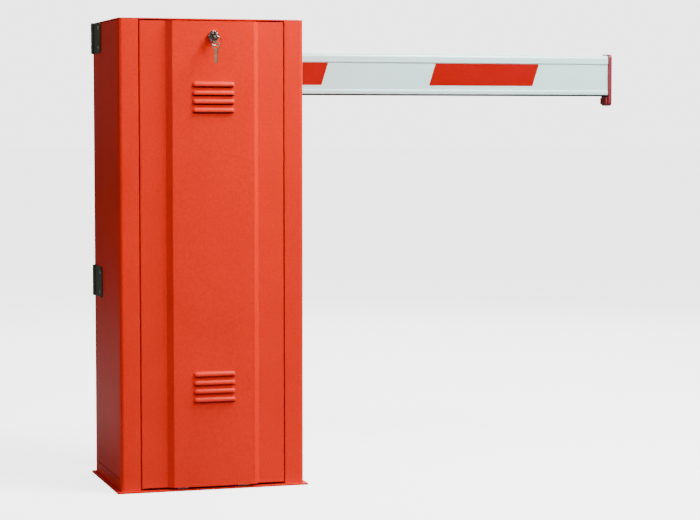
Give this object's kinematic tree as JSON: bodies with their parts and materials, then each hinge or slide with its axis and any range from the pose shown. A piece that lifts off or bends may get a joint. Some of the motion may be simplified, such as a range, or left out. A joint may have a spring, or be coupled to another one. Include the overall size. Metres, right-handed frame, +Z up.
{
  "type": "parking barrier gate",
  "caption": "Upright steel cabinet with a louvred lockable door and hinged side panel, carrying a horizontal striped boom on a spring-balanced geared shaft.",
  "frame": {"origin": "centre of the cabinet's footprint on the floor, which is the centre of the floor-anchor pattern", "axes": "+Z up, +X along the lowered boom towards its tip, +Y to the rear where the boom is; the door faces -Y"},
  "size_m": [1.332, 0.434, 1.05],
  "materials": {
    "cabinet_paint": "satin orange powder coat, fine orange peel",
    "door_paint": "satin orange powder coat, fine orange peel",
    "base_steel": "satin orange powder coat",
    "zinc_steel": "bright zinc plate",
    "dark_hinge": "dark grey-green enamel",
    "chrome": "polished",
    "key_brass": "nickelled brass",
    "boom_white": "gloss white powder coat on aluminium",
    "red_film": "retroreflective red film",
    "cap_plastic": "crimson moulded plastic",
    "rubber": "matt black",
    "shaft_steel": "ground steel",
    "cast_grey": "grey machine enamel",
    "motor_alu": "die cast, satin",
    "bronze": "machined bronze",
    "black_plastic": "moulded",
    "grey_plastic": "moulded",
    "board_green": "solder mask",
    "spring_steel": "oiled"
  },
  "bodies": {
    "cabinet": {"base_plate": "base_steel", "front_left_post": "cabinet_paint", "right_wall": "cabinet_paint", "rear_wall": "cabinet_paint", "top_cover": "cabinet_paint", "door_pivot_brackets": "zinc_steel", "door_gasket": "rubber", "frame_leaves": "dark_hinge", "shaft_bearings": "cast_grey", "limit_sensors": "chrome", "sensor_bracket": "zinc_steel", "spring_eye_bolt": "zinc_steel", "spring_anchor": "zinc_steel", "chassis_plate": "zinc_steel", "chassis_brackets": "zinc_steel", "machine_bolts": "zinc_steel", "stop_buffers": "rubber", "gearbox_housing": "cast_grey", "gearbox_cover": "cast_grey", "motor_housing": "motor_alu", "fan_cover": "black_plastic", "control_case": "grey_plastic", "cable_glands": "black_plastic", "circuit_board": "board_green", "terminal_block": "board_green", "board_components": "black_plastic"},
    "door": {"cabinet_door": "door_paint", "door_hooks": "zinc_steel", "lock_barrel": "chrome", "lock_nut": "zinc_steel"},
    "lock": {"lock_plug": "chrome", "lock_cam": "zinc_steel", "door_key": "key_brass"},
    "ring": {"key_ring": "chrome"},
    "hanging_key": {"spare_key": "key_brass"},
    "panel": {"side_panel": "cabinet_paint", "panel_leaves": "dark_hinge", "leaf_screws": "zinc_steel"},
    "boom": {"boom_profile": "boom_white", "boom_edge_rubber": "rubber", "boom_stripes": "red_film", "boom_end_cap": "cap_plastic", "boom_holder": "zinc_steel", "boom_liner": "rubber", "boom_clamp_plate": "zinc_steel", "boom_clamp_bolts": "zinc_steel", "main_shaft": "shaft_steel", "drive_lever": "zinc_steel", "spring_lever": "zinc_steel", "limit_cams": "black_plastic"},
    "crank": {"crank": "zinc_steel", "output_shaft": "shaft_steel", "worm_wheel": "bronze"},
    "rod": {"tie_rod": "zinc_steel"},
    "worm": {"worm_shaft": "shaft_steel", "motor_rotor": "shaft_steel", "motor_fan": "black_plastic", "hand_crank_knob": "zinc_steel"},
    "spring": {"balance_spring": "spring_steel"},
    "lid": {"case_lid": "grey_plastic"}
  },
  "joints": [
    {"name": "boom_lift", "type": "hinge", "parent": "cabinet", "child": "boom", "pos_m": [0, 0.1525, 0.937], "axis": [0, -1, 0], "range_deg": [0, 90]},
    {"name": "crank_turn", "type": "hinge", "parent": "cabinet", "child": "crank", "pos_m": [0, 0.058, 0.723], "axis": [0, -1, 0], "range_deg": [0, 90]},
    {"name": "tie_rod_level", "type": "hinge", "parent": "crank", "child": "rod", "pos_m": [-0.06364, 0.078, 0.78664], "axis": [0, -1, 0], "range_deg": [-90, 0]},
    {"name": "worm_spin", "type": "hinge", "parent": "cabinet", "child": "worm", "pos_m": [0, -0.01, 0.6735], "axis": [1, 0, 0], "range_deg": [-2700, 0]},
    {"name": "spring_swing", "type": "hinge", "parent": "cabinet", "child": "spring", "pos_m": [-0.1, 0.117, 0.25], "axis": [0, 1, 0], "range_deg": [0, 9.67], "deforming": ["balance_spring"]},
    {"name": "door_tilt", "type": "hinge", "parent": "cabinet", "child": "door", "pos_m": [0, -0.1591, 0.014], "axis": [1, 0, 0], "range_deg": [0, 75]},
    {"name": "lock_turn", "type": "hinge", "parent": "door", "child": "lock", "pos_m": [0, -0.1645, 1.011], "axis": [0, 1, 0], "range_deg": [0, 45]},
    {"name": "ring_level", "type": "hinge", "parent": "lock", "child": "ring", "pos_m": [0, -0.1905, 1.011], "axis": [0, 1, 0], "range_deg": [-45, 0]},
    {"name": "spare_key_swing", "type": "hinge", "parent": "ring", "child": "hanging_key", "pos_m": [0, -0.1905, 0.989], "axis": [1, 0, 0], "range_deg": [-15, 15]},
    {"name": "panel_swing", "type": "hinge", "parent": "cabinet", "child": "panel", "pos_m": [-0.214, 0.1354, 0.733], "axis": [0, 0, -1], "range_deg": [0, 110]},
    {"name": "lid_swing", "type": "hinge", "parent": "cabinet", "child": "lid", "pos_m": [-0.011, 0.078, 0.445], "axis": [0, 0, -1], "range_deg": [0, 105]}
  ],
  "couplings": [
    {"joint": "crank_turn", "follows": "boom_lift", "ratio": 1},
    {"joint": "tie_rod_level", "follows": "boom_lift", "ratio": -1},
    {"joint": "worm_spin", "follows": "boom_lift", "ratio": -30},
    {"joint": "spring_swing", "follows": "boom_lift", "ratio": 0.10742},
    {"joint": "ring_level", "follows": "lock_turn", "ratio": -1}
  ]
}
